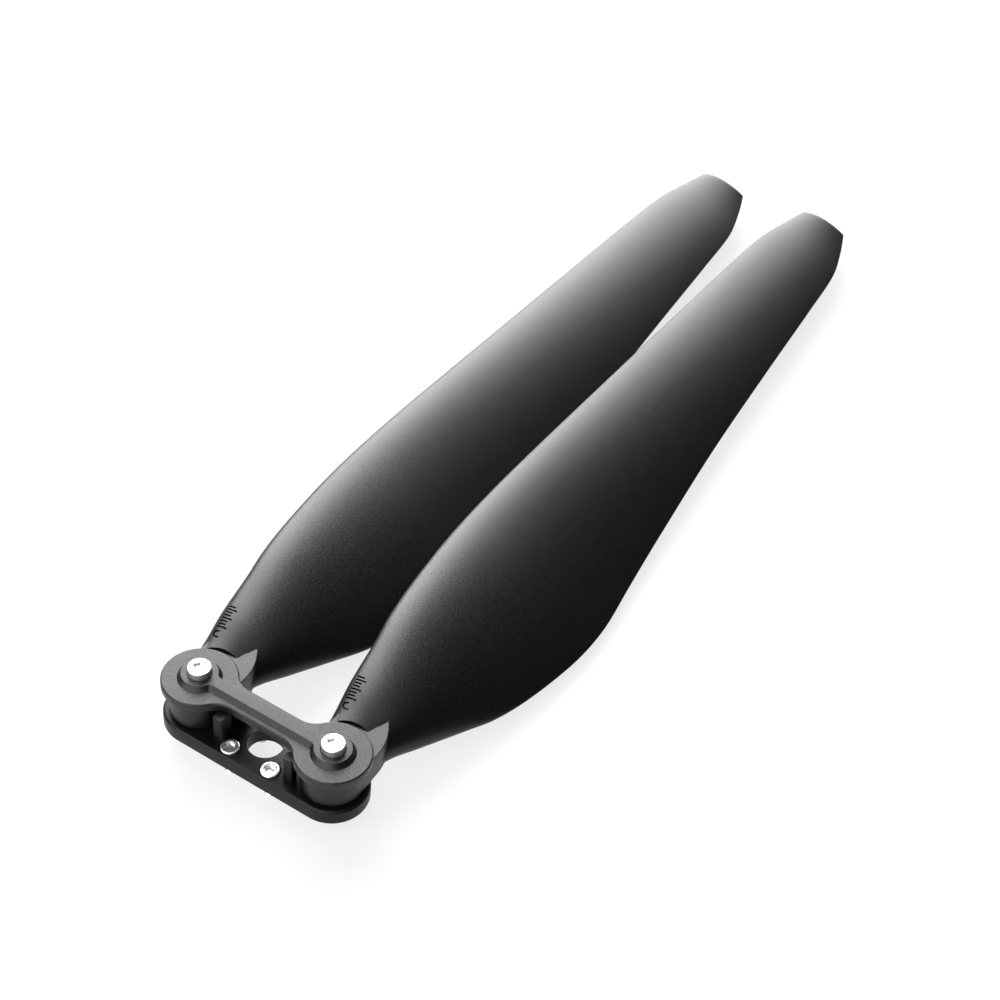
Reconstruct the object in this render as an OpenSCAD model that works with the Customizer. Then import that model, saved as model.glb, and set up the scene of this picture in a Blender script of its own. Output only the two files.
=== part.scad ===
// Folding two-blade drone propeller, blades folded side by side along +Y.
// Origin: centre of the hub's mounting face. +X runs through the pivots, +Z is the spin axis.

/* [Size of the disc] */
// Diameter swept by the blade tips when the blades are unfolded
disc_d = 609.6; // [604:0.1:612]
// Distance between the two blade pivots
pivot_span = 37.5; // [36.5:0.1:39]

/* [Hub base] */
// Thickness of the base plate
base_t = 4.0; // [3.6:0.1:4.4]
// Radius of the base plate's round ends
base_r = 8.7; // [8.2:0.1:9.5]
// Chamfer round the top of the base plate
base_edge = 0.5; // [0.2:0.1:0.8]
// Diameter of the pilot hole that centres the hub on the motor
pilot_d = 8.5; // [6:0.1:9]
// Height of the space between the base plate and the cover
gap_h = 7.9; // [7.4:0.1:9]
// Width of the stop posts that stand between the plates
post_w = 2.5; // [1.5:0.1:2.5]
// Rounding of the posts' upright edges
post_edge = 0.3; // [0.1:0.1:0.5]

/* [Cover plate] */
// Thickness of the cover plate
cover_t = 2.3; // [2:0.1:3]
// Radius of the cover's round ends
cover_r = 8.9; // [8.2:0.1:9.5]
// Bevel round the top of the cover
cover_edge = 0.4; // [0.2:0.1:0.7]
// Width of the narrow neck between the cover's ends
neck_w = 6.8; // [5:0.1:6.8]
// Radius of the hollow corners where the neck meets the ends
neck_fillet = 6; // [4:0.5:8]
// Height of the pivot bosses and of the ridge that joins them
boss_h = 1.3; // [0.8:0.1:2]
// Radius of a boss at its foot
boss_r = 5.1; // [4.8:0.1:6]
// Width of the ridge at its foot
ridge_w = 4.4; // [3.6:0.1:5]
// Radius of the hollow corners where the ridge meets the bosses
ridge_fillet = 0.8; // [0.4:0.1:2]
// How far the flanks of the bosses and of the ridge lean in
flank = 0.8; // [0.4:0.1:1]

/* [Pivots] */
// Nominal diameter of the pivot bolts
bolt_d = 3.0; // [3:0.1:3]
// Length of a pivot bolt under its head
bolt_len = 14; // [13:1:15]
// Diameter of a pivot bolt's head
bolt_head_d = 5.5; // [5:0.1:6]
// Height of a pivot bolt's head
bolt_head_h = 3.0; // [2.5:0.1:3.4]
// Key size of a pivot bolt's hexagon socket
bolt_key = 2.5; // [2:0.5:3]
// Depth that a bolt head is let into its boss
head_sink = 1.1; // [0.5:0.1:1.2]
// Width across the flats of the pivot nuts
nut_af = 5.5; // [5:0.1:6]
// Height of a pivot nut
nut_h = 2.4; // [2:0.1:2.6]
// Outside diameter of the spacer sleeve that the blade turns on
sleeve_d = 5.0; // [4.5:0.1:5.5]
// Outside diameter of the bush pressed into the blade
bush_d = 7.0; // [6.5:0.1:8]
// Radial clearance between sleeve and bush
run_gap = 0.04; // [0.02:0.01:0.08]
// Outside diameter of the thrust washers
washer_d = 12; // [9:0.5:14]
// Thickness of a thrust washer
washer_t = 0.35; // [0.2:0.05:0.5]
// Gap between a washer and the blade
side_gap = 0.05; // [0.03:0.01:0.1]

/* [Mounting screws] */
// Diameter of the circle that the mounting screws stand on
screw_pcd = 16; // [15.5:0.1:16.5]
// Nominal diameter of the mounting screws
screw_d = 2.5; // [2:0.1:3]
// Length of a mounting screw under its head
screw_len = 6; // [5:1:8]
// Diameter of a mounting screw's head
screw_head_d = 4.5; // [4:0.1:4.7]
// Height of a mounting screw's head
screw_head_h = 2.5; // [2:0.1:3]
// Key size of a mounting screw's hexagon socket
screw_key = 2.0; // [1.5:0.5:2.5]
// Depth that a mounting screw's head is let into the base
screw_sink = 2.0; // [1.5:0.1:2.4]
// Length of the thinner shank between a mounting screw's head and its thread
screw_neck = 2.4; // [2.2:0.1:3]

/* [Blades] */
// Radius of a blade's round root around its pivot
root_r = 7.3; // [6.8:0.1:7.4]
// Radius round the pivot inside which the blade is cut down to clear the cover
relief_r = 11.3; // [10.5:0.1:12]
// Thickness of a blade's trailing edge
edge_t = 0.5; // [0.3:0.1:0.8]
// Rise of a blade's curved back, as a part of its chord
camber = 0.04; // [0.02:0.005:0.06]
// Number of cross-sections along a blade
blade_rings = 36; // [24:1:44]
// Number of points along each face of a cross-section
blade_points = 12; // [8:1:14]

/* [Hidden] */
$fn = 64;

right = pivot_span / 2;
left = -pivot_span / 2;
screw_at = screw_pcd / 2 * sqrt(0.5);
cover_z = base_t + gap_h;
cover_top = cover_z + cover_t;
boss_top = cover_top + boss_h;
head_z = boss_top - head_sink;
nut_z = head_z - bolt_len;
root_low = base_t + washer_t + side_gap;
root_high = cover_z - washer_t - side_gap;
tip_y = disc_d / 2 - right;
hole_gap = 0.1;
nut_gap = 0.05;
lap = 1;
END_STEPS = 30;
CORNER_STEPS = 8;

// Shape of a blade along its span. Each row gives the distance from the pivot as a part of the
// blade's length, then X and Z of the leading edge, X and Z of the trailing edge, the greatest
// thickness, and how full the section is (1 is an ellipse, 0 is a thin aerofoil).
STATION = 0;
LEAD_X = 1;
LEAD_Z = 2;
TRAIL_X = 3;
TRAIL_Z = 4;
THICK = 5;
FULL = 6;
BLADE = [
    [0.017, -7.2, 9.2, 6.2, 6.0, 5.6, 1.0],
    [0.042, -8.5, 10.3, 7.2, 5.4, 7.0, 1.0],
    [0.070, -10.1, 12.2, 10.4, 4.0, 7.8, 1.0],
    [0.112, -12.1, 13.8, 15.1, 1.8, 7.4, 0.7],
    [0.140, -13.9, 14.4, 18.2, 0.5, 6.8, 0.4],
    [0.175, -15.6, 14.6, 20.8, -0.2, 6.2, 0.2],
    [0.227, -17.4, 14.6, 23.1, -0.9, 5.8, 0.1],
    [0.262, -18.3, 14.5, 23.8, -1.1, 5.5, 0],
    [0.297, -18.9, 14.3, 23.4, -1.2, 5.2, 0],
    [0.350, -19.5, 13.8, 21.4, -0.7, 4.9, 0],
    [0.420, -19.9, 13.0, 19.0, 0.2, 4.5, 0],
    [0.560, -20.5, 11.1, 14.7, 1.8, 3.8, 0],
    [0.700, -20.8, 9.6, 11.4, 2.9, 3.2, 0],
    [0.840, -20.7, 8.6, 8.3, 3.6, 2.6, 0],
    [0.916, -20.0, 8.1, 6.3, 3.9, 2.2, 0],
    [0.961, -17.9, 7.7, 3.0, 4.2, 1.9, 0],
    [0.993, -16.2, 7.4, -0.1, 4.5, 1.7, 0],
    [0.998, -15.7, 7.3, -0.8, 4.6, 1.6, 0],
    [1.000, -14.6, 7.2, -1.8, 4.7, 1.4, 0]
];

// Row of the table that station t falls in
function row_at(t, i = 0) = (i >= len(BLADE) - 2 || t < BLADE[i + 1][STATION]) ? i : row_at(t, i + 1);

// Slope of column k at row i
function slope(i, k) =
    let (a = max(i - 1, 0), b = min(i + 1, len(BLADE) - 1))
    (BLADE[b][k] - BLADE[a][k]) / (BLADE[b][STATION] - BLADE[a][STATION]);

// Smooth value of column k at station t
function along(t, k) =
    let (i = row_at(t), w = BLADE[i + 1][STATION] - BLADE[i][STATION], u = (t - BLADE[i][STATION]) / w)
    (2 * pow(u, 3) - 3 * pow(u, 2) + 1) * BLADE[i][k] + (pow(u, 3) - 2 * pow(u, 2) + u) * w * slope(i, k)
    + (3 * pow(u, 2) - 2 * pow(u, 3)) * BLADE[i + 1][k] + (pow(u, 3) - pow(u, 2)) * w * slope(i + 1, k);

// Half thickness at u along the chord, for a section of thickness 2 and fullness f
function half_thickness(u, f) =
    f * 2 * sqrt(max(u * (1 - u), 0))
    + (1 - f) * 10 * (0.2969 * sqrt(u) - 0.126 * u - 0.3516 * pow(u, 2) + 0.2843 * pow(u, 3)
                      - 0.1036 * pow(u, 4));

// Point on the section at station t: u along the chord, side 1 for the back and -1 for the face
function blade_point(t, u, side) =
    let (lead = [along(t, LEAD_X), along(t, LEAD_Z)],
         trail = [along(t, TRAIL_X), along(t, TRAIL_Z)],
         chord = norm(trail - lead),
         dir = (trail - lead) / chord,
         half = half_thickness(u, along(t, FULL)) * along(t, THICK) / 2 + edge_t / 2 * u,
         rise = camber * chord * 4 * u * (1 - u) + side * half,
         p = lead + dir * chord * u + [-dir[1], dir[0]] * rise)
    [p[0], t * tip_y, p[1]];

// Closed ring of one section: over the back from the trailing edge, and home along the face
function blade_ring(t) = concat(
    [for (i = [0:blade_points]) blade_point(t, (1 + cos(180 * i / blade_points)) / 2, 1)],
    [for (i = [1:blade_points]) blade_point(t, (1 - cos(180 * i / blade_points)) / 2, -1)]);

// Stations are closer together at the root and at the tip
function ring_station(i) =
    let (v = i / (blade_rings - 1), first = BLADE[0][STATION])
    first + (1 - first) * (0.35 * v + 0.65 * (1 - cos(180 * v)) / 2);

// Solid skinned over a stack of rings with n points each. Point i of a ring lies across from n - 1 - i.
module skin(rings) {
    n = len(rings[0]);
    last = (len(rings) - 1) * n;
    walls = [for (r = [0:len(rings) - 2], i = [0:n - 1])
        let (a = r * n + i, b = r * n + (i + 1) % n)
        each [[a, b + n, a + n], [a, b, b + n]]];
    near_half = [for (i = [0:floor((n - 1) / 2) - 1]) [i, n - 1 - i, i + 1]];
    far_half = [for (i = [0:floor(n / 2) - 2]) [i + 1, n - 1 - i, n - 2 - i]];
    cap = concat(near_half, far_half);
    far_cap = [for (f = cap) [last + f[0], last + f[2], last + f[1]]];
    polyhedron(points = [for (ring = rings) each ring], faces = concat(walls, cap, far_cap));
}

// Long round-ended plate with a chamfered top edge
module stadium_plate(r, t, edge) {
    cube_y = 2 * r;
    translate([-pivot_span / 2, -cube_y / 2, 0]) cube([pivot_span, cube_y, t - edge]);
    translate([0, 0, t - edge]) rotate([90, 0, 90])
        linear_extrude(pivot_span, center = true)
            polygon([[-r, 0], [r, 0], [r - edge, edge], [-r + edge, edge]]);
    for (x = [left, right]) translate([x, 0, 0]) {
        cylinder(h = t - edge, r = r);
        translate([0, 0, t - edge]) cylinder(h = edge, r1 = r, r2 = r - edge);
    }
}

module hexagon(across, h) {
    cylinder(h = h, d = across / cos(30), $fn = 6);
}

// Ring with a square section
module ring(outer_d, inner_d, h) {
    difference() {
        cylinder(h = h, d = outer_d);
        translate([0, 0, -lap]) cylinder(h = h + 2 * lap, d = inner_d);
    }
}

// Upright post with rounded corners, from one corner to the opposite one
module stop_post(x0, y0, x1, y1) {
    e = post_edge;
    translate([x0 + e, y0, base_t - lap]) cube([x1 - x0 - 2 * e, y1 - y0, gap_h + lap]);
    translate([x0, y0 + e, base_t - lap]) cube([x1 - x0, y1 - y0 - 2 * e, gap_h + lap]);
    for (x = [x0 + e, x1 - e], y = [y0 + e, y1 - e])
        translate([x, y, base_t - lap]) cylinder(h = gap_h + lap, r = e, $fn = 24);
}

module hub_base() {
    // Outer faces of the front and rear posts, and the inner side of each pair from the spin axis
    post_y = 6.2;
    rear_y = 5.0;
    near_x = 7.6;
    far_x = 9.6;
    color("dimgray") difference() {
        union() {
            stadium_plate(base_r, base_t, base_edge);
            stop_post(-near_x - post_w, -post_y, -near_x, -2.4);
            stop_post(far_x, -post_y, far_x + post_w, -4.1);
            stop_post(near_x, 2.4, near_x + post_w, rear_y);
            stop_post(-near_x - post_w, 2.4, -near_x, rear_y);
        }
        translate([0, 0, -lap]) cylinder(h = base_t + 2 * lap, d = pilot_d);
        for (x = [-screw_at, screw_at], y = [-screw_at, screw_at]) translate([x, y, 0]) {
            translate([0, 0, -lap]) cylinder(h = base_t + 2 * lap, d = screw_d + 2 * hole_gap);
            translate([0, 0, base_t - screw_sink]) cylinder(h = screw_sink + lap, d = screw_head_d + 0.5);
        }
        for (x = [left, right]) translate([x, 0, -lap]) {
            cylinder(h = base_t + 2 * lap, d = bolt_d + 2 * hole_gap);
            hexagon(nut_af + 2 * nut_gap, lap + nut_z + nut_h);
        }
    }
}

// Outline at height z with a round end at each pivot, and a narrow neck with hollow corners
function bone_ring(end_r, neck_half, fillet, inset, z) =
    let (r = end_r - inset,
         half = neck_half - inset,
         f = fillet + inset,
         reach = sqrt(pow(r + f, 2) - pow(half + f, 2)),
         lean = atan2(half + f, reach),
         end = [for (i = [0:END_STEPS - 1]) let (a = (i + 0.5) * (180 - lean) / END_STEPS)
             [right + r * cos(a), r * sin(a)]],
         corner = [for (i = [0:CORNER_STEPS]) let (a = -lean - (90 - lean) * i / CORNER_STEPS)
             [right - reach + f * cos(a), half + f + f * sin(a)]],
         quarter = concat(end, corner),
         m = len(quarter) - 1)
    concat([for (i = [0:m]) [quarter[i][0], quarter[i][1], z]],
           [for (i = [m:-1:0]) [-quarter[i][0], quarter[i][1], z]],
           [for (i = [0:m]) [-quarter[i][0], -quarter[i][1], z]],
           [for (i = [m:-1:0]) [quarter[i][0], -quarter[i][1], z]]);

function plate_ring(inset, z) = bone_ring(cover_r, neck_w / 2, neck_fillet, inset, z);
function ridge_ring(inset, z) = bone_ring(boss_r, ridge_w / 2, ridge_fillet, inset, z);

module hub_cover() {
    bore_d = bolt_d + 2 * hole_gap;
    recess_d = bolt_head_d + 4 * hole_gap;
    color("gray") difference() {
        skin([ridge_ring(flank, boss_top), ridge_ring(0, cover_top), plate_ring(cover_edge, cover_top),
              plate_ring(0, cover_top - cover_edge), plate_ring(0, cover_z)]);
        for (x = [left, right]) translate([x, 0, 0]) {
            translate([0, 0, cover_z - lap]) cylinder(h = cover_t + boss_h + 2 * lap, d = bore_d);
            translate([0, 0, head_z]) cylinder(h = head_sink + lap, d = recess_d);
        }
    }
}

// Flat root that turns between the plates, round the pivot and drawn out into the blade
module blade_root() {
    straight = root_r - 0.1;
    translate([0, 0, root_low]) {
        cylinder(h = root_high - root_low, r = root_r);
        linear_extrude(root_high - root_low)
            polygon([[-straight, 0], [straight, 0], [7.1, 6], [6.9, 9], [6.3, 11.6], [5.1, 14.2], [3.2, 16.7],
                     [0, 18], [-4, 16], [-6.6, 12], [-straight, 9]]);
    }
}

module blade() {
    color([0.09, 0.09, 0.1]) difference() {
        union() {
            blade_root();
            difference() {
                skin([for (i = [0:blade_rings - 1]) blade_ring(ring_station(i))]);
                translate([0, 0, root_high - 0.3]) cylinder(h = 12, r = relief_r);
                translate([0, 0, root_low + 0.3 - 12]) cylinder(h = 12, r = relief_r - 0.5);
            }
        }
        translate([0, 0, root_low - lap]) cylinder(h = root_high - root_low + 2 * lap, d = bush_d);
    }
}

module blade_bush() {
    color("peru") translate([0, 0, root_low])
        ring(bush_d, sleeve_d + 2 * run_gap, root_high - root_low);
}

module pivot_sleeve() {
    color("silver") translate([0, 0, base_t]) ring(sleeve_d, bolt_d + hole_gap, gap_h);
}

module thrust_washer() {
    color("ivory") ring(washer_d, sleeve_d + hole_gap, washer_t);
}

// Socket cap screw: head standing on z = 0, shank below it, thinner for the length of the neck
module cap_screw(d, length, head_d, head_h, key, neck = 0) {
    bevel = 0.3;
    undercut = 0.5;
    difference() {
        union() {
            cylinder(h = head_h - bevel, d = head_d);
            translate([0, 0, head_h - bevel]) cylinder(h = bevel, d1 = head_d, d2 = head_d - 2 * bevel);
            translate([0, 0, -neck]) cylinder(h = neck + bevel, d = d - undercut);
            translate([0, 0, bevel - length]) cylinder(h = length - bevel - neck, d = d);
            translate([0, 0, -length]) cylinder(h = bevel, d1 = d - 2 * bevel, d2 = d);
        }
        translate([0, 0, head_h / 2]) hexagon(key, head_h);
    }
}

module pivot_bolt() {
    color("silver") translate([0, 0, head_z]) cap_screw(bolt_d, bolt_len, bolt_head_d, bolt_head_h, bolt_key);
}

module pivot_nut() {
    color("silver") translate([0, 0, nut_z]) difference() {
        hexagon(nut_af, nut_h);
        translate([0, 0, -lap]) cylinder(h = nut_h + 2 * lap, d = bolt_d + hole_gap / 2);
    }
}

module mount_screw(x, y) {
    color("silver") translate([x, y, base_t - screw_sink])
        cap_screw(screw_d, screw_len, screw_head_d, screw_head_h, screw_key, screw_neck);
}

// Puts a pivot part at the right-hand or the left-hand pivot
module at_right(z = 0) translate([right, 0, z]) children();
module at_left(z = 0) translate([left, 0, z]) children();

hub_base();
hub_cover();
at_right() blade();  // blade_right
at_left() blade();  // blade_left
at_right() blade_bush();  // blade_bush_right
at_left() blade_bush();  // blade_bush_left
at_right() pivot_sleeve();  // pivot_sleeve_right
at_left() pivot_sleeve();  // pivot_sleeve_left
at_right(cover_z - washer_t) thrust_washer();  // thrust_washer_top_right
at_left(cover_z - washer_t) thrust_washer();  // thrust_washer_top_left
at_right(base_t) thrust_washer();  // thrust_washer_bottom_right
at_left(base_t) thrust_washer();  // thrust_washer_bottom_left
at_right() pivot_bolt();  // pivot_bolt_right
at_left() pivot_bolt();  // pivot_bolt_left
at_right() pivot_nut();  // pivot_nut_right
at_left() pivot_nut();  // pivot_nut_left
mount_screw(screw_at, -screw_at);  // mount_screw_front_right
mount_screw(-screw_at, -screw_at);  // mount_screw_front_left
mount_screw(screw_at, screw_at);  // mount_screw_rear_right
mount_screw(-screw_at, screw_at);  // mount_screw_rear_left
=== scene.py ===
"""Looks of a folding drone propeller, built round its CAD frame. Lengths are in mm up to mesh_object()."""

import math

import bmesh
import bpy
import numpy as np
from mathutils import Matrix, Vector


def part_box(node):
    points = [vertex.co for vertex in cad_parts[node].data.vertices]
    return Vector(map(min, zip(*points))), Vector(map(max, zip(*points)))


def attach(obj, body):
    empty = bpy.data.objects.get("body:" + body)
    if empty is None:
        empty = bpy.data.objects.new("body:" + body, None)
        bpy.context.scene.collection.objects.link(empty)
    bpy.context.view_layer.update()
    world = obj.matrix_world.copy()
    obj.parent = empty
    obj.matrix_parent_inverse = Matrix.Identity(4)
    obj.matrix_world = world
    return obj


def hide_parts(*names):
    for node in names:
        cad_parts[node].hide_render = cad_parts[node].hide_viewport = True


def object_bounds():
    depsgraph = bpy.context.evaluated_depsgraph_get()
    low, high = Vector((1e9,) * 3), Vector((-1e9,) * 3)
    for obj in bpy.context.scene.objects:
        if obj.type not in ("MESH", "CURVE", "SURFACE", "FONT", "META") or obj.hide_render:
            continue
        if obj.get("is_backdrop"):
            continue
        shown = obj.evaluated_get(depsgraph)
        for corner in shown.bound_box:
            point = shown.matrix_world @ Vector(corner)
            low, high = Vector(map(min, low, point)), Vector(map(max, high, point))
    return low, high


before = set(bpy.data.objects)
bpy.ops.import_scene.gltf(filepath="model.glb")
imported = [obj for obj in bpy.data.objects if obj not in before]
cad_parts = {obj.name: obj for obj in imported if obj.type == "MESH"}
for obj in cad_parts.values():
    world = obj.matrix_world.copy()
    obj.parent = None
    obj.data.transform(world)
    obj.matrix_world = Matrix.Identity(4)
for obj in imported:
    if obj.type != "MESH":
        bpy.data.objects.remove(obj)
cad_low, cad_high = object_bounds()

MM = 0.001
X, Y, Z = 0, 1, 2
SIDES = {"right": 1, "left": -1}
ENDS = {"front": -1, "rear": 1}
PAST = 1.0               # how far a cutting tool reaches past the part


# ---------------------------------------------------------------- places taken from the frame

def span(node, axis):
    """Lowest and highest coordinate of a CAD node along one axis, in mm."""
    low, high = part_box(node)
    return low[axis] / MM, high[axis] / MM


pivot_x = sum(span("pivot_bolt_right", X)) / 2
screw_x = sum(span("mount_screw_rear_right", X)) / 2
cover_low, ridge_top = span("hub_cover", Z)
root_low, root_high = span("blade_bush_right", Z)
base_t = span("pivot_sleeve_right", Z)[0]
base_r = span("hub_base", Y)[1]
cover_r = span("hub_cover", Y)[1]
root_front_y, tip_y = span("blade_right", Y)
RIDGE_H = 1.3
cover_top = ridge_top - RIDGE_H


# ---------------------------------------------------------------- materials

def node_tree(name):
    material = bpy.data.materials.new(name)
    material.use_nodes = True
    tree = material.node_tree
    return material, tree, tree.nodes["Principled BSDF"]


def add(tree, kind, **values):
    """A new node. A value whose name is a socket is set on the socket, and any other on the node."""
    node = tree.nodes.new(kind)
    for key, value in values.items():
        socket = key.replace("_", " ")
        if socket in node.inputs:
            node.inputs[socket].default_value = value
        else:
            setattr(node, key, value)
    return node


def place(tree):
    return add(tree, "ShaderNodeTexCoord").outputs["Object"]


def noise(tree, where, scale, detail, roughness):
    node = add(tree, "ShaderNodeTexNoise", Scale=scale, Detail=detail, Roughness=roughness)
    tree.links.new(where, node.inputs["Vector"])
    return node.outputs["Fac"]


def remap(tree, value, low, high, new_low, new_high):
    node = add(tree, "ShaderNodeMapRange")
    tree.links.new(value, node.inputs["Value"])
    for socket, number in zip(("From Min", "From Max", "To Min", "To Max"), (low, high, new_low, new_high)):
        node.inputs[socket].default_value = number
    return node.outputs["Result"]


def ramp(tree, value, stops):
    """Colour that goes from the first of two stops to the second. A tone is a grey or three numbers."""
    node = add(tree, "ShaderNodeValToRGB")
    tree.links.new(value, node.inputs["Fac"])
    for cell, (position, tone) in zip(node.color_ramp.elements, stops):
        cell.position = position
        cell.color = (*tone, 1.0) if isinstance(tone, tuple) else (tone, tone, tone, 1.0)
    return node.outputs["Color"]


def bump(tree, shader, height, distance, strength=1.0):
    node = add(tree, "ShaderNodeBump", Distance=distance, Strength=strength)
    tree.links.new(height, node.inputs["Height"])
    tree.links.new(node.outputs["Normal"], shader.inputs["Normal"])


def moulded(name, dark, light, rough, grain, specular=0.5):
    """Moulded plastic: spark-eroded grain, a mottled tone and faint specks of fibre."""
    material, tree, shader = node_tree(name)
    where = place(tree)
    speck = noise(tree, where, 2500.0, 2.0, 0.7)
    mottle = noise(tree, where, 160.0, 4.0, 0.6)
    tone = add(tree, "ShaderNodeMix", data_type="FLOAT")
    tone.inputs[0].default_value = 0.25
    tree.links.new(speck, tone.inputs[2])
    tree.links.new(mottle, tone.inputs[3])
    colour = ramp(tree, tone.outputs[0], [(0.35, dark), (0.65, light)])
    tree.links.new(colour, shader.inputs["Base Color"])
    rough_value = remap(tree, speck, 0.3, 0.7, rough - 0.07, rough + 0.07)
    tree.links.new(rough_value, shader.inputs["Roughness"])
    shader.inputs["Specular IOR Level"].default_value = specular
    bump(tree, shader, speck, grain * MM)
    return material


def turned_metal(name, tone, rough):
    """Bright metal with turning marks and a slight unevenness of polish."""
    material, tree, shader = node_tree(name)
    where = place(tree)
    patch = noise(tree, where, 700.0, 3.0, 0.6)
    colour = ramp(tree, patch, [(0.3, tuple(0.9 * c for c in tone)), (0.7, tone)])
    tree.links.new(colour, shader.inputs["Base Color"])
    shader.inputs["Metallic"].default_value = 1.0
    tree.links.new(remap(tree, patch, 0.3, 0.7, rough - 0.03, rough + 0.05), shader.inputs["Roughness"])
    marks = add(tree, "ShaderNodeTexWave", wave_type="BANDS", bands_direction="Z", Scale=2600.0,
                Distortion=1.5, Detail=2.0)
    tree.links.new(where, marks.inputs["Vector"])
    bump(tree, shader, marks.outputs["Fac"], 0.001 * MM, 0.5)
    return material


plastic_base = moulded("moulded_base", dark=0.0010, light=0.0022, rough=0.42, grain=0.040, specular=0.18)
plastic_cover = moulded("moulded_cover", dark=0.0012, light=0.0028, rough=0.42, grain=0.040, specular=0.38)
plastic_blade = moulded("moulded_blade", dark=0.0006, light=0.0014, rough=0.38, grain=0.040, specular=0.37)
plastic_mark = moulded("moulded_mark", dark=0.0006, light=0.0012, rough=0.75, grain=0.006, specular=0.1)
plastic_washer = moulded("washer_plastic", dark=0.50, light=0.62, rough=0.38, grain=0.004)
steel_bolt = turned_metal("steel_bolt", tone=(0.86, 0.86, 0.87), rough=0.38)
steel_nut = turned_metal("steel_nut", tone=(0.70, 0.70, 0.71), rough=0.30)
steel_sleeve = turned_metal("steel_sleeve", tone=(0.66, 0.66, 0.67), rough=0.22)
brass_bush = turned_metal("brass_bush", tone=(0.78, 0.57, 0.27), rough=0.28)


# ---------------------------------------------------------------- mesh helpers

def mesh_object(name, points, faces, material):
    """A mesh object from points in mm."""
    mesh = bpy.data.meshes.new(name)
    mesh.from_pydata([tuple(float(c) * MM for c in p) for p in points], [], [tuple(f) for f in faces])
    mesh.validate()
    mesh.materials.append(material)
    shape = bpy.data.objects.new(name, mesh)
    bpy.context.scene.collection.objects.link(shape)
    return shape


def outward(shape):
    """Turns every face outwards, and joins points that meet."""
    work = bmesh.new()
    work.from_mesh(shape.data)
    bmesh.ops.remove_doubles(work, verts=work.verts, dist=1e-7)
    bmesh.ops.recalc_face_normals(work, faces=work.faces)
    work.to_mesh(shape.data)
    work.free()
    return shape


def bake_modifiers(shape):
    """Makes the shape's modifiers part of its mesh."""
    graph = bpy.context.evaluated_depsgraph_get()
    graph.update()
    mesh = bpy.data.meshes.new_from_object(shape.evaluated_get(graph), depsgraph=graph)
    old = shape.data
    shape.modifiers.clear()
    shape.data = mesh
    bpy.data.meshes.remove(old)


def combine(shape, tools, operation):
    """Boolean of shape with each tool, which is used up."""
    for tool in tools:
        outward(tool)
        step = shape.modifiers.new("join", "BOOLEAN")
        step.operation = operation
        step.solver = "EXACT"
        step.object = tool
        step.material_mode = "TRANSFER"
        bpy.context.view_layer.update()
        bake_modifiers(shape)
        bpy.data.objects.remove(tool)


def soften(shape, width):
    """Rounds the sharp edges that the booleans left."""
    step = shape.modifiers.new("soften", "BEVEL")
    step.width = width * MM
    step.segments = 2
    step.limit_method = "ANGLE"
    step.angle_limit = math.radians(35.0)
    step.use_clamp_overlap = True
    step.miter_outer = "MITER_ARC"
    bpy.context.view_layer.update()
    bake_modifiers(shape)


def shade(shape, angle):
    """Clears slivers and idle points, then shades smoothly, with a crease where the angle is passed."""
    work = bmesh.new()
    work.from_mesh(shape.data)
    bmesh.ops.remove_doubles(work, verts=work.verts, dist=0.002 * MM)
    bmesh.ops.dissolve_degenerate(work, edges=work.edges, dist=0.001 * MM)
    straight = 0.02          # radians
    idle = [v for v in work.verts if len(v.link_edges) == 2 and v.calc_edge_angle(1.0) < straight]
    bmesh.ops.dissolve_verts(work, verts=idle)
    for face in work.faces:
        face.smooth = True
    limit = math.radians(angle)
    for edge in work.edges:
        edge.smooth = len(edge.link_faces) == 2 and edge.calc_face_angle(0.0) < limit
    work.to_mesh(shape.data)
    work.free()
    return shape


def weigh(shape):
    """Lets large flat faces keep their own direction next to small rounded ones."""
    step = shape.modifiers.new("weigh", "WEIGHTED_NORMAL")
    step.keep_sharp = True
    step.weight = 60


def settle(shape, body, node):
    """Puts a finished piece on its body, in place of a CAD node."""
    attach(shape, body)
    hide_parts(node)


def across_cap(first, n, flip=False):
    """Faces of the flat end of a ring of n points in which point i lies across from n - 1 - i."""
    faces = []
    for i in range(n // 2):
        a, b, c, d = first + i, first + i + 1, first + n - 2 - i, first + n - 1 - i
        if b > c:
            break
        faces.append((a, b, d) if b == c else (a, b, c, d))
    return [f[::-1] for f in faces] if flip else faces


def whole_cap(first, n, flip=False):
    """The flat end of a ring of n points as one face."""
    ring = list(range(first, first + n))
    return [ring[::-1] if flip else ring]


def skin(name, rings, material, cap=across_cap):
    """Solid over a stack of rings with the same number of points."""
    n = len(rings[0])
    faces = []
    for r in range(len(rings) - 1):
        for i in range(n):
            a, b = r * n + i, r * n + (i + 1) % n
            faces.append((a, b, b + n, a + n))
    faces += cap(0, n, True)
    faces += cap((len(rings) - 1) * n, n)
    return outward(mesh_object(name, [p for ring in rings for p in ring], faces, material))


def turned(name, profile, material, centre=(0.0, 0.0), steps=64, closed=False):
    """Body of revolution from (radius, height) points. A closed profile makes a ring."""
    points, faces, rows = [], [], []
    for radius, height in profile:
        if radius == 0:
            rows.append([len(points)] * steps)
            points.append((centre[0], centre[1], height))
            continue
        rows.append(list(range(len(points), len(points) + steps)))
        for k in range(steps):
            turn = 2 * math.pi * k / steps
            x, y = radius * math.cos(turn), radius * math.sin(turn)
            points.append((centre[0] + x, centre[1] + y, height))
    for low, high in zip(rows, rows[1:] + rows[:1] if closed else rows[1:]):
        for k in range(steps):
            m = (k + 1) % steps
            face = [low[k], low[m], high[m], high[k]]
            face = [v for i, v in enumerate(face) if v != face[i - 1]]
            if len(face) > 2:
                faces.append(face)
    return outward(mesh_object(name, points, faces, material))


def hex_radius(turn, across):
    """Distance from the centre to the side of a hexagon, in the direction of turn."""
    sixth = math.pi / 3
    return across / 2 / math.cos((turn % sixth) - sixth / 2)


# ---------------------------------------------------------------- screws, nuts, washers, sleeves, bushes

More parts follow.
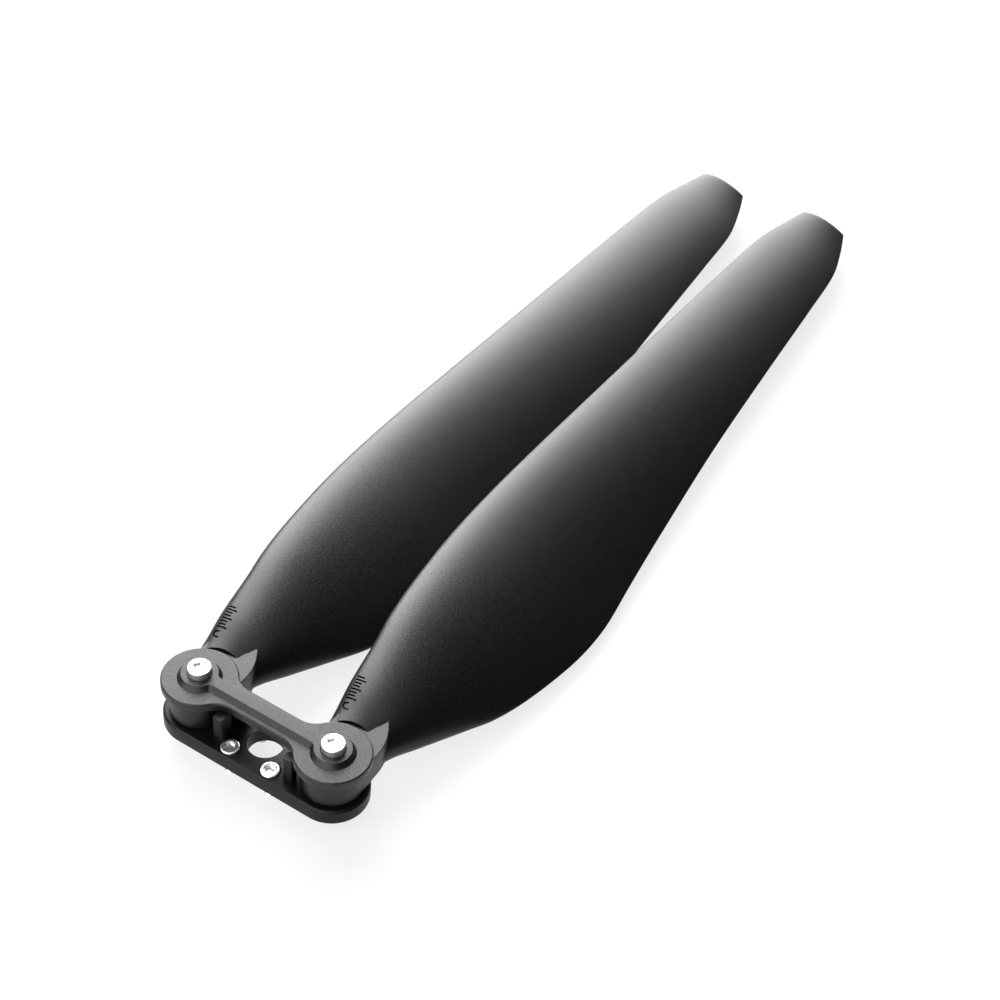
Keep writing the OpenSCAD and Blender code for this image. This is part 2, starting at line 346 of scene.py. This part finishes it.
def thread_rows(radius, pitch, low, high, steps):
    """Rings of (radius, turn, height) over a screw thread that fades out at both ends."""
    depth = 0.54 * pitch
    rows = []
    count = int((high - low) / pitch * 8)
    for r in range(count + 1):
        z = low + (high - low) * r / count
        fade = min(1.0, (high - z) / pitch, 0.25 + (z - low) / pitch)
        row = []
        for k in range(steps):
            turn = k / steps
            phase = (z / pitch - turn) % 1.0
            tooth = min(1.0, max(0.0, 1.35 - 2.7 * abs(phase - 0.5)))
            row.append((radius - depth * (1 - tooth * fade), 2 * math.pi * turn, z))
        rows.append(row)
    return rows


def cap_screw(name, centre, seat, material, d, pitch, length, thread, head_d, head_h, key):
    """Socket cap screw with its head standing on the height seat."""
    steps = 72
    cx, cy = centre
    head_r, top = head_d / 2, seat + head_h
    points, faces, rows = [], [], []

    def row_of(polar):
        """Adds a ring of points from (radius, turn, height)."""
        rows.append(list(range(len(points), len(points) + steps)))
        points.extend((cx + r * math.cos(turn), cy + r * math.sin(turn), z) for r, turn, z in polar)

    def circle(radius, height):
        row_of([(radius, 2 * math.pi * k / steps, height) for k in range(steps)])

    def hexagon(height):
        turns = [2 * math.pi * k / steps for k in range(steps)]
        row_of([(hex_radius(turn, key), turn, height) for turn in turns])

    tip = seat - length
    shank = d / 2 - 0.06
    point = 0.35             # length of the tapered point, and how far it draws in
    circle(shank - point, tip)
    for row in thread_rows(d / 2, pitch, tip, tip + thread, steps):
        taper = min(1.0, (row[0][2] - tip) / point)
        row_of([(min(r, shank - point + (point + 0.06) * taper), turn, z) for r, turn, z in row])
    circle(shank, tip + thread + 0.1)
    rim = 0.12
    circle(shank, seat - rim)
    circle(shank + rim, seat)
    circle(head_r - rim, seat)
    circle(head_r, seat + rim)
    crown = 0.28             # radius of the head's upper edge
    for k in range(1, 5):
        bend = math.pi / 2 * k / 4
        circle(head_r - crown * (1 - math.cos(bend)), top - crown + crown * math.sin(bend))
    socket = key / 2 / math.cos(math.pi / 6)
    floor = top - 0.22 * head_h
    circle(socket + 0.26, top)
    circle(socket + 0.20, top - 0.03)
    hexagon(top - 0.14)
    hexagon(floor)
    circle(key / 2 - 0.12, floor - 0.01)
    for low, high in zip(rows, rows[1:]):
        for k in range(steps):
            m = (k + 1) % steps
            faces.append((low[k], low[m], high[m], high[k]))
    points.append((cx, cy, tip))
    faces += [(rows[0][(k + 1) % steps], rows[0][k], len(points) - 1) for k in range(steps)]
    points.append((cx, cy, floor - 0.03))
    faces += [(rows[-1][k], rows[-1][(k + 1) % steps], len(points) - 1) for k in range(steps)]
    return shade(outward(mesh_object(name, points, faces, material)), 32.0)


def hex_nut(name, centre, low, height, across, bore, material):
    """Hexagon nut with chamfered corners and a countersunk bore."""
    steps = 72
    crown = 0.97 * across / 2
    slope = math.tan(math.radians(28))
    high, mouth, sink = low + height, bore + 0.22, 0.25
    circles = [(bore, low + sink), (mouth, low), (crown, low), (None, low), (None, high), (crown, high),
               (mouth, high), (bore, high - sink)]
    points, faces = [], []
    for radius, z in circles:
        for k in range(steps):
            turn = 2 * math.pi * k / steps
            side = hex_radius(turn, across)
            cut = max(0.0, side - crown) * slope
            inward = cut if z == low else -cut
            r, zz = (side, z + inward) if radius is None else (radius, z)
            points.append((centre[0] + r * math.cos(turn), centre[1] + r * math.sin(turn), zz))
    for i in range(len(circles)):
        for k in range(steps):
            m = (k + 1) % steps
            j = (i + 1) % len(circles)
            faces.append((i * steps + k, i * steps + m, j * steps + m, j * steps + k))
    return shade(outward(mesh_object(name, points, faces, material)), 25.0)


def tube(name, centre, low, high, outer, inner, edge, material):
    """Ring or sleeve with small chamfers on all four rims."""
    profile = [(inner + edge, low), (outer - edge, low), (outer, low + edge), (outer, high - edge),
               (outer - edge, high), (inner + edge, high), (inner, high - edge), (inner, low + edge)]
    return shade(turned(name, profile, material, centre, 72, True), 30.0)


BOLT = {"d": 3.0, "pitch": 0.5, "length": 14.0, "thread": 6.0, "head_d": 5.5, "head_h": 3.0, "key": 2.5}
SCREW = {"d": 2.5, "pitch": 0.45, "length": 6.0, "thread": 4.1, "head_d": 4.5, "head_h": 2.5, "key": 2.0}
BUSH_R = 3.5

for word, side in SIDES.items():
    at = (side * pivot_x, 0.0)
    bolt_top = span("pivot_bolt_" + word, Z)[1]
    bolt = cap_screw("bolt_" + word, at, bolt_top - BOLT["head_h"], steel_bolt, **BOLT)
    settle(bolt, "hub", "pivot_bolt_" + word)
    nut_low, nut_high = span("pivot_nut_" + word, Z)
    nut = hex_nut("nut_" + word, at, nut_low, nut_high - nut_low, across=5.5, bore=1.52, material=steel_nut)
    settle(nut, "hub", "pivot_nut_" + word)
    sleeve = tube("sleeve_" + word, at, base_t, cover_low, outer=2.5, inner=1.55, edge=0.15,
                  material=steel_sleeve)
    settle(sleeve, "hub", "pivot_sleeve_" + word)
    bush = tube("bush_" + word, at, root_low, root_high, outer=BUSH_R, inner=2.54, edge=0.15,
                material=brass_bush)
    settle(bush, word + "_blade", "blade_bush_" + word)
    for level in ("top", "bottom"):
        cad = "thrust_washer_" + level + "_" + word
        low, high = span(cad, Z)
        washer = tube("washer_" + level + "_" + word, at, low, high, outer=6.0, inner=2.55, edge=0.05,
                      material=plastic_washer)
        settle(washer, "hub", cad)

for word_y, sy in ENDS.items():
    for word_x, sx in SIDES.items():
        cad = "mount_screw_" + word_y + "_" + word_x
        seat = span(cad, Z)[1] - SCREW["head_h"]
        at = (sx * screw_x, sy * screw_x)
        screw = cap_screw("screw_" + word_y + "_" + word_x, at, seat, steel_bolt, **SCREW)
        settle(screw, "hub", cad)


# ---------------------------------------------------------------- hub base

def stadium(radius, z, steps=49):
    """Ring round both pivots, from the right end over the back to the left end and home along the front."""
    ring = []
    for k in range(steps):
        turn = math.pi * (k + 0.5) / steps
        x_side = pivot_x if turn < math.pi / 2 else -pivot_x
        ring.append((x_side + radius * math.cos(turn), radius * math.sin(turn), z))
    return ring + [(p[0], -p[1], z) for p in ring[::-1]]


def drum(radius, low, high, centre=(0.0, 0.0), steps=64, material=plastic_base):
    return turned("tool", [(0, low), (radius, low), (radius, high), (0, high)], material, centre, steps)


def step_drum(narrow, wide, low, floor, high, centre, steps, material=plastic_base):
    """Tool for a counterbored hole, narrow up to the height floor and wide above it."""
    profile = [(0, low), (narrow, low), (narrow, floor), (wide, floor), (wide, high), (0, high)]
    return turned("tool", profile, material, centre, steps)


def prism(points, n):
    """Upright tool from the n points of its lower end and the n points of its upper end."""
    faces = [tuple(range(n - 1, -1, -1)), tuple(range(n, 2 * n))]
    faces += [(k, (k + 1) % n, (k + 1) % n + n, k + n) for k in range(n)]
    return outward(mesh_object("tool", points, faces, plastic_base))


def hexagon_tool(across, low, high, centre):
    points = []
    for z in (low, high):
        for k in range(6):
            turn = math.pi / 3 * k
            rr = across / 2 / math.cos(math.pi / 6)
            points.append((centre[0] + rr * math.cos(turn), centre[1] + rr * math.sin(turn), z))
    return prism(points, 6)


def post_tool(x0, y0, x1, y1):
    """Upright post between two opposite corners, with rounded edges, sunk into the base."""
    corner, steps, sunk = 0.3, 5, 0.5
    centres = [(x1 - corner, y1 - corner), (x0 + corner, y1 - corner), (x0 + corner, y0 + corner),
               (x1 - corner, y0 + corner)]
    outline = []
    for q, (cx, cy) in enumerate(centres):
        for k in range(steps + 1):
            turn = math.pi / 2 * (q + k / steps)
            outline.append((cx + corner * math.cos(turn), cy + corner * math.sin(turn)))
    points = [(x, y, z) for z in (base_t - sunk, cover_low) for x, y in outline]
    return prism(points, len(outline))


PILOT_R = 4.25
PIVOT_HOLE_R = 1.6
SCREW_HOLE_R, COUNTERBORE_R, COUNTERBORE_T = 1.35, 2.5, 2.0
POCKET_ACROSS, POCKET_T = 5.6, 2.8
# The posts' near sides and width along X, and their outer and inner sides along Y
POST_NEAR, POST_FAR, POST_W = 7.6, 9.6, 2.5
POST_FRONT, POST_REAR, POST_INNER, POST_INNER_RIGHT = 6.2, 5.0, 2.4, 4.1

chamfers = [(0.35, 0.0), (0.1, 0.12), (0.0, 0.4), (0.0, base_t - 0.62), (0.06, base_t - 0.48),
            (0.42, base_t - 0.08), (0.56, base_t)]
base = skin("hub_base_plate", [stadium(base_r - inset, z) for inset, z in chamfers], plastic_base)
posts = [post_tool(-POST_NEAR - POST_W, -POST_FRONT, -POST_NEAR, -POST_INNER),
         post_tool(POST_FAR, -POST_FRONT, POST_FAR + POST_W, -POST_INNER_RIGHT),
         post_tool(POST_NEAR, POST_INNER, POST_NEAR + POST_W, POST_REAR),
         post_tool(-POST_NEAR - POST_W, POST_INNER, -POST_NEAR, POST_REAR)]
combine(base, posts, "UNION")
cuts = [drum(PILOT_R, -PAST, base_t + PAST)]
for sx in SIDES.values():
    for sy in (1, -1):
        cuts.append(step_drum(SCREW_HOLE_R, COUNTERBORE_R, -PAST, base_t - COUNTERBORE_T, base_t + PAST,
                              (sx * screw_x, sy * screw_x), 56))
    cuts.append(drum(PIVOT_HOLE_R, -PAST, base_t + PAST, (sx * pivot_x, 0.0), 40))
    cuts.append(hexagon_tool(POCKET_ACROSS, -PAST, POCKET_T, (sx * pivot_x, 0.0)))
combine(base, cuts, "DIFFERENCE")
soften(base, 0.1)
weigh(shade(base, 38.0))
settle(base, "hub", "hub_base")


# ---------------------------------------------------------------- hub cover

def bone(end_r, neck_half, fillet, inset, z):
    """Ring with a round end at each pivot and a narrow neck with hollow corners."""
    end_steps, corner_steps = 36, 14
    r, half, f = end_r - inset, neck_half - inset, fillet + inset
    reach = math.sqrt((r + f) ** 2 - (half + f) ** 2)
    lean = math.atan2(half + f, reach)
    quarter = []
    for k in range(end_steps):
        turn = (k + 0.5) * (math.pi - lean) / end_steps
        quarter.append((pivot_x + r * math.cos(turn), r * math.sin(turn)))
    for k in range(corner_steps + 1):
        turn = -lean - (math.pi / 2 - lean) * k / corner_steps
        quarter.append((pivot_x - reach + f * math.cos(turn), half + f + f * math.sin(turn)))
    half_ring = [(x, y, z) for x, y in quarter]
    half_ring += [(-x, y, z) for x, y in quarter[::-1]]
    return half_ring + [(x, -y, z) for x, y, z in half_ring[::-1]]


def rounded_edge(radius, steps):
    """(inset, drop) pairs that turn a wall into a top."""
    turns = [math.pi / 2 * k / steps for k in range(steps + 1)]
    return [(radius * (1 - math.cos(turn)), radius * (1 - math.sin(turn))) for turn in turns]


def plate_bone(inset, z):
    return bone(cover_r, 3.4, 6.0, inset, z)


def ridge_bone(inset, z):
    return bone(5.1, 2.2, 0.8, inset, z)


FLANK = 0.8              # how far the ridge's sloping side leans in
BOSS_BORE_R, BOSS_BORE_T = 2.95, 1.1

foot = [(-0.20, 0.0), (-0.07, 0.02), (0.03, 0.08)]
brow = [(-0.06, 0.10), (-0.01, 0.03), (0.05, 0.005), (0.11, 0.0)]
cover_rings = [plate_bone(0.2, cover_low), plate_bone(0.0, cover_low + 0.2)]
cover_rings += [plate_bone(inset, cover_top - drop) for inset, drop in rounded_edge(0.4, 5)]
cover_rings += [ridge_bone(inset, cover_top + lift) for inset, lift in foot]
cover_rings += [ridge_bone(FLANK + inset, ridge_top - drop) for inset, drop in brow]
cover = skin("hub_cover_plate", cover_rings, plastic_cover)
cuts = [step_drum(PIVOT_HOLE_R, BOSS_BORE_R, cover_low - PAST, ridge_top - BOSS_BORE_T, ridge_top + PAST,
                  (side * pivot_x, 0.0), 72, plastic_cover) for side in SIDES.values()]
combine(cover, cuts, "DIFFERENCE")
weigh(shade(cover, 45.0))
settle(cover, "hub", "hub_cover")


# ---------------------------------------------------------------- blades

# Share of the length, X and Z of the leading edge, X and Z of the trailing edge, thickness, fullness
STATIONS = [
    (0.017, -7.2, 9.2, 6.2, 6.0, 5.6, 1.0),
    (0.042, -8.5, 10.3, 7.2, 5.4, 7.0, 1.0),
    (0.070, -10.1, 12.2, 10.4, 4.0, 7.8, 1.0),
    (0.112, -12.1, 13.8, 15.1, 1.8, 7.4, 0.7),
    (0.140, -13.9, 14.4, 18.2, 0.5, 6.8, 0.4),
    (0.175, -15.6, 14.6, 20.8, -0.2, 6.2, 0.2),
    (0.227, -17.4, 14.6, 23.1, -0.9, 5.8, 0.1),
    (0.262, -18.3, 14.5, 23.8, -1.1, 5.5, 0.0),
    (0.297, -18.9, 14.3, 23.4, -1.2, 5.2, 0.0),
    (0.350, -19.5, 13.8, 21.4, -0.7, 4.9, 0.0),
    (0.420, -19.9, 13.0, 19.0, 0.2, 4.5, 0.0),
    (0.560, -20.5, 11.1, 14.7, 1.8, 3.8, 0.0),
    (0.700, -20.8, 9.6, 11.4, 2.9, 3.2, 0.0),
    (0.840, -20.7, 8.6, 8.3, 3.6, 2.6, 0.0),
    (0.916, -20.0, 8.1, 6.3, 3.9, 2.2, 0.0),
    (0.961, -17.9, 7.7, 3.0, 4.2, 1.9, 0.0),
    (0.993, -16.2, 7.4, -0.1, 4.5, 1.7, 0.0),
    (0.998, -15.7, 7.3, -0.8, 4.6, 1.6, 0.0),
    (1.000, -14.6, 7.2, -1.8, 4.7, 1.4, 0.0),
]
CAMBER = 0.04            # rise of the middle line as a share of the chord
EDGE_T = 0.5             # thickness of the trailing edge
RELIEF_R = 11.3          # cut away round the cover, so that the blade clears it


def along(t):
    """Smooth values of the six columns at share t of the length."""
    i = max(0, min(len(STATIONS) - 2, sum(1 for row in STATIONS if row[0] <= t) - 1))
    gap = STATIONS[i + 1][0] - STATIONS[i][0]
    u = (t - STATIONS[i][0]) / gap

    def slope(j, k):
        a, b = max(j - 1, 0), min(j + 1, len(STATIONS) - 1)
        return (STATIONS[b][k] - STATIONS[a][k]) / (STATIONS[b][0] - STATIONS[a][0])

    return [(2 * u ** 3 - 3 * u ** 2 + 1) * STATIONS[i][k] + (u ** 3 - 2 * u ** 2 + u) * gap * slope(i, k)
            + (3 * u ** 2 - 2 * u ** 3) * STATIONS[i + 1][k] + (u ** 3 - u ** 2) * gap * slope(i + 1, k)
            for k in range(1, 7)]


def half_thickness(u, full):
    """Share of half the thickness at u along the chord: a wing's shape, or an ellipse when full is 1."""
    thin = 10 * (0.2969 * math.sqrt(u) - 0.126 * u - 0.3516 * u ** 2 + 0.2843 * u ** 3 - 0.1036 * u ** 4)
    return full * 2 * math.sqrt(max(u * (1 - u), 0)) + (1 - full) * thin


def section_point(row, u, side):
    """X and Z at u along the chord, on the back (side 1) or on the face (side -1)."""
    lead_x, lead_z, trail_x, trail_z, thick, full = row
    dx, dz = trail_x - lead_x, trail_z - lead_z
    chord = math.hypot(dx, dz)
    half = half_thickness(u, full) * thick / 2 + EDGE_T / 2 * u
    rise = CAMBER * chord * 4 * u * (1 - u) + side * half
    return lead_x + dx * u - dz / chord * rise, lead_z + dz * u + dx / chord * rise


def blade_skin(name, x0):
    """Solid over the blade's sections, which lie closer together near the root and the tip."""
    rings, count = 220, 44
    first = STATIONS[0][0]
    stack = []
    for r in range(rings):
        v = r / (rings - 1)
        t = first + (1 - first) * (0.45 * v + 0.55 * (1 - math.cos(math.pi * v)) / 2)
        row = along(t)
        ring = []
        for k in range(count + 1):
            x, z = section_point(row, (1 + math.cos(math.pi * k / count)) / 2, 1)
            ring.append((x0 + x, t * tip_y, z))
        for k in range(1, count + 1):
            x, z = section_point(row, (1 - math.cos(math.pi * k / count)) / 2, -1)
            ring.append((x0 + x, t * tip_y, z))
        stack.append(ring)
    return skin(name, stack, plastic_blade)


def root_outline():
    """Round the pivot on the hub's side, then a smooth curve through the guide's points inside the blade."""
    radius = -root_front_y
    arc = [(radius * math.cos(a), radius * math.sin(a)) for a in np.linspace(math.pi, 2 * math.pi, 48)]
    guide = [(radius, 0.0), (7.25, 3.0), (7.1, 6.0), (6.9, 9.0), (6.3, 11.6), (5.1, 14.2), (3.2, 16.7),
             (0.0, 18.0), (-4.0, 16.0), (-6.6, 12.0), (-7.2, 9.0), (-radius, 0.0)]
    tail = []
    for i in range(1, len(guide) - 2):
        p0, p1, p2, p3 = (np.array(guide[j]) for j in (i - 1, i, i + 1, i + 2))
        for u in np.linspace(0, 1, 6, endpoint=False):
            tail.append(tuple(0.5 * (2 * p1 + (p2 - p0) * u + (2 * p0 - 5 * p1 + 4 * p2 - p3) * u ** 2
                                     + (3 * p1 - p0 - 3 * p2 + p3) * u ** 3)))
    tail.append(guide[-2])
    return arc + [(7.29, 1.5)] + tail + [(-7.28, 4.5)]


def inset_outline(outline, inset):
    """Outline moved inwards along its own normals."""
    moved = []
    for i, (x, y) in enumerate(outline):
        ax, ay = outline[i - 1]
        bx, by = outline[(i + 1) % len(outline)]
        length = math.hypot(bx - ax, by - ay)
        moved.append((x - (by - ay) / length * inset, y + (bx - ax) / length * inset))
    return moved


def blade_root(x0):
    """Flat eye round the pivot, with rounded rims."""
    outline = root_outline()
    rim, inset, drop = 0.25, 0.07, 0.08
    levels = [(rim, root_low), (inset, root_low + drop), (0.0, root_low + rim)]
    levels += [(0.0, root_high - rim), (inset, root_high - drop), (rim, root_high)]
    rings = [[(x0 + x, y, z) for x, y in inset_outline(outline, inset)] for inset, z in levels]
    return skin("tool", rings, plastic_blade, whole_cap)


def stroke(x0, path):
    """Closed bar that follows the back of the blade along a path of (station in mm, mm along the chord)."""
    width, depth, proud = 0.46, 0.25, 0.3
    points, faces, centre = [], [], []
    for s, c in path:
        row = along(s / tip_y)
        chord = math.hypot(row[2] - row[0], row[3] - row[1])
        u = c / chord
        x, z = section_point(row, u, 1)
        xb, zb = section_point(row, u + 0.01, 1)
        run = math.hypot(xb - x, zb - z)
        centre.append(((x0 + x, s, z), ((xb - x) / run, (zb - z) / run)))
    for i, ((x, y, z), (tx, tz)) in enumerate(centre):
        j, k = max(i - 1, 0), min(i + 1, len(path) - 1)
        ds, dc = path[k][0] - path[j][0], path[k][1] - path[j][1]
        size = math.hypot(ds, dc)
        side_s, side_c = -dc / size * width / 2, ds / size * width / 2
        for sign in (1, -1):
            for lift in (proud, -depth):
                points.append((x + sign * side_c * tx - lift * tz, y + sign * side_s,
                               z + sign * side_c * tz + lift * tx))
    for i in range(len(path) - 1):
        a, b = 4 * i, 4 * (i + 1)
        faces += [(a, a + 1, b + 1, b), (a + 1, a + 3, b + 3, b + 1), (a + 3, a + 2, b + 2, b + 3),
                  (a + 2, a, b, b + 2)]
    end = 4 * (len(path) - 1)
    faces += [(0, 2, 3, 1), (end, end + 1, end + 3, end + 2)]
    return mesh_object("tool", points, faces, plastic_mark)


def marking(x0):
    """Generic sunk marking near the root: a turning arrow and a row of plain bars."""
    bend = [(13.9 + 0.80 * math.sin(a), 1.9 - 0.95 * math.cos(a)) for a in np.linspace(-2.2, 1.6, 9)]
    barb = [(14.5, 0.7), (14.7, 1.5)]
    paths = [bend, barb]
    first_bar, gap, foot, short, tall = 15.9, 0.85, 0.7, 2.4, 3.1
    for k in range(8):
        reach = tall if k % 3 == 0 else short
        s = first_bar + gap * k
        paths.append([(s, c) for c in np.linspace(foot, reach, 6)])
    return [stroke(x0, path) for path in paths]


for word, side in SIDES.items():
    x0 = side * pivot_x
    blade = blade_skin("blade_shell_" + word, x0)
    reach, overlap = 12.0, 0.04
    above, below = root_high - overlap, root_low + overlap
    cuts = [drum(RELIEF_R, above, root_high + reach, (x0, 0.0), 96, plastic_blade),
            drum(RELIEF_R - 0.5, below - reach, below, (x0, 0.0), 96, plastic_blade)]
    combine(blade, cuts, "DIFFERENCE")
    combine(blade, [blade_root(x0)], "UNION")
    bore = drum(BUSH_R, root_low - PAST, root_high + PAST, (x0, 0.0), 72, plastic_blade)
    combine(blade, [bore], "DIFFERENCE")
    combine(blade, marking(x0), "DIFFERENCE")
    weigh(shade(blade, 32.0))
    settle(blade, word + "_blade", "blade_" + word)


# ---------------------------------------------------------------- floor, light and camera

def flat_square(name, half, z, material):
    points = [(-half, -half, z), (half, -half, z), (half, half, z), (-half, half, z)]
    return mesh_object(name, points, [(0, 1, 2, 3)], material)


floor_paint, tree, shader = node_tree("floor_paint")
patch = noise(tree, place(tree), 3.0, 2.0, 0.5)
tree.links.new(ramp(tree, patch, [(0.3, 0.135), (0.7, 0.145)]), shader.inputs["Base Color"])
shader.inputs["Emission Color"].default_value = (1.0, 1.0, 1.0, 1.0)
shader.inputs["Emission Strength"].default_value = 0.76
shader.inputs["Roughness"].default_value = 0.9
shader.inputs["Specular IOR Level"].default_value = 0.1
floor = flat_square("floor", 6000.0, cad_low[Z] / MM - 0.05, floor_paint)
floor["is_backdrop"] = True


def lamp_from(direction, name, strength, spread):
    """Distant soft light from a direction, spread over an angle in degrees."""
    data = bpy.data.lights.new(name, "SUN")
    data.energy = strength
    data.angle = math.radians(spread)
    lamp = bpy.data.objects.new(name, data)
    aim = Vector(direction).normalized()
    lamp.location = 2.0 * aim
    lamp.rotation_euler = aim.to_track_quat("Z", "Y").to_euler()
    bpy.context.scene.collection.objects.link(lamp)


lamp_from((-0.53, 0.88, 0.40), "key_low", strength=3.3, spread=50)
lamp_from((-0.72, 0.52, 0.78), "key_high", strength=4.7, spread=50)
lamp_from((-0.15, -0.85, 0.45), "front", strength=4.7, spread=80)
lamp_from((0.10, 0.0, 1.0), "overhead", strength=0.8, spread=54)

# The world is white where it is seen, and gives almost no light.
world = bpy.data.worlds.new("studio")
world.use_nodes = True
sky = world.node_tree
background = sky.nodes["Background"]
background.inputs["Color"].default_value = (1.0, 1.0, 1.0, 1.0)
seen = add(sky, "ShaderNodeLightPath").outputs["Is Camera Ray"]
sky.links.new(remap(sky, seen, 0.0, 1.0, 0.01, 1.0), background.inputs["Strength"])
bpy.context.scene.world = world
bpy.context.scene.view_settings.view_transform = "Standard"

EYE = Vector((0.1604, -0.2010, 0.3077))          # metres
LENS = 61.9
AZIMUTH, ELEVATION, ROLL = math.radians(28.12), math.radians(41.36), math.radians(6.40)
level = math.cos(ELEVATION)
back = Vector((math.sin(AZIMUTH) * level, -math.cos(AZIMUTH) * level, math.sin(ELEVATION)))
right = Vector((math.cos(AZIMUTH), math.sin(AZIMUTH), 0.0))
up = back.cross(right)
turned_right = right * math.cos(ROLL) + up * math.sin(ROLL)
turned_up = up * math.cos(ROLL) - right * math.sin(ROLL)
camera_data = bpy.data.cameras.new("camera")
camera_data.sensor_width = 36.0
camera_data.lens = LENS
camera_data.clip_start = 0.01
camera = bpy.data.objects.new("camera", camera_data)
camera.matrix_world = Matrix((
    (turned_right.x, turned_up.x, back.x, EYE.x),
    (turned_right.y, turned_up.y, back.y, EYE.y),
    (turned_right.z, turned_up.z, back.z, EYE.z),
    (0.0, 0.0, 0.0, 1.0)))
bpy.context.scene.collection.objects.link(camera)
bpy.context.scene.camera = camera

low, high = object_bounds()
